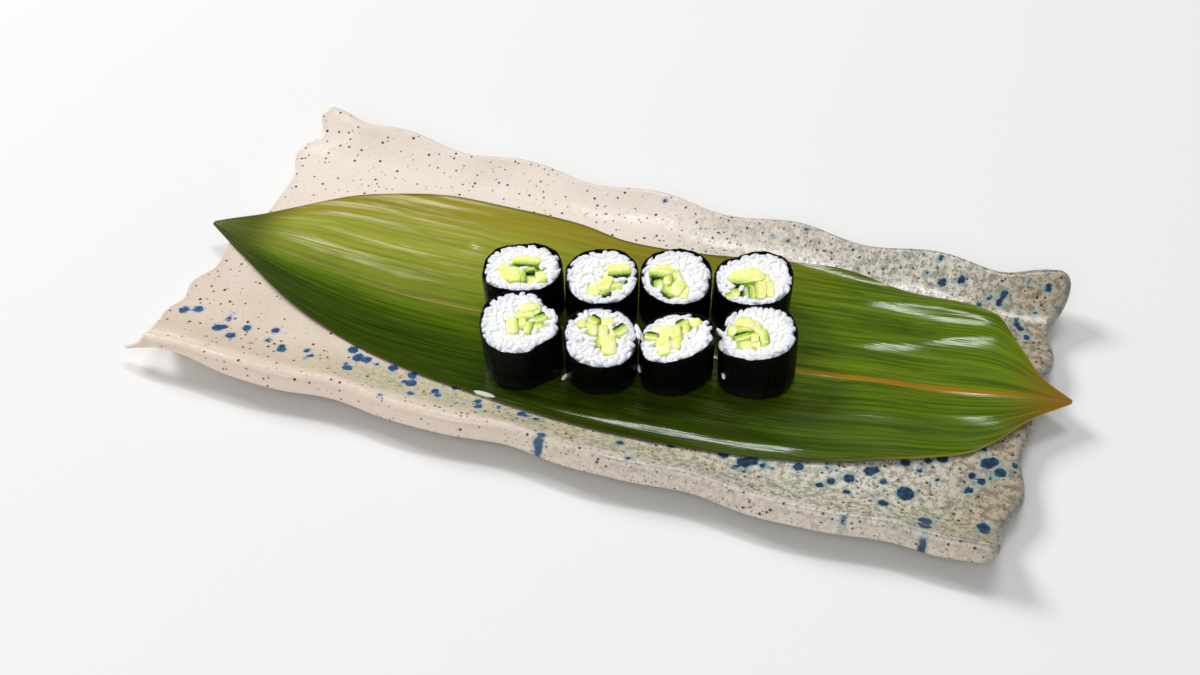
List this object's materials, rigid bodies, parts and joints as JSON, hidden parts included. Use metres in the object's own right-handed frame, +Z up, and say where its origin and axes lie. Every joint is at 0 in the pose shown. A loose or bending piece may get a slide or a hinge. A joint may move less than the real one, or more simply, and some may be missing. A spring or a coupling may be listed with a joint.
{
  "type": "maki sushi plate",
  "caption": "Cucumber maki rolls standing in two rows on a bamboo leaf, on a long wavy-edged speckled ceramic plate with rolled long rims.",
  "frame": {"origin": "middle of the whole outline at the height of the table the plate stands on", "axes": "+X along the plate towards the leaf's stalk, +Y towards the higher back rim, +Z up"},
  "size_m": [0.332, 0.1495, 0.0317],
  "materials": {
    "stoneware_glaze": "glossy cream glaze with brown specks, turning grey-beige to one end, and dark blue spots",
    "bamboo_leaf_green": "glossy dark green leaf with fine lengthwise veins and a pale midrib",
    "nori_black_green": "near-black roasted seaweed sheet, slightly glossy and wrinkled",
    "cooked_rice_white": "moist cooked white rice",
    "cucumber_pale_green": "moist pale green cut cucumber, dark green where skin is left on"
  },
  "bodies": {
    "root": {"plate": "stoneware_glaze", "leaf": "bamboo_leaf_green", "nori_1": "nori_black_green", "rice_1": "cooked_rice_white", "cucumber_1": "cucumber_pale_green", "nori_2": "nori_black_green", "rice_2": "cooked_rice_white", "cucumber_2": "cucumber_pale_green", "nori_3": "nori_black_green", "rice_3": "cooked_rice_white", "cucumber_3": "cucumber_pale_green", "nori_4": "nori_black_green", "rice_4": "cooked_rice_white", "cucumber_4": "cucumber_pale_green", "nori_5": "nori_black_green", "rice_5": "cooked_rice_white", "cucumber_5": "cucumber_pale_green", "nori_6": "nori_black_green", "rice_6": "cooked_rice_white", "cucumber_6": "cucumber_pale_green", "nori_7": "nori_black_green", "rice_7": "cooked_rice_white", "cucumber_7": "cucumber_pale_green", "nori_8": "nori_black_green", "rice_8": "cooked_rice_white", "cucumber_8": "cucumber_pale_green"}
  },
  "joints": []
}
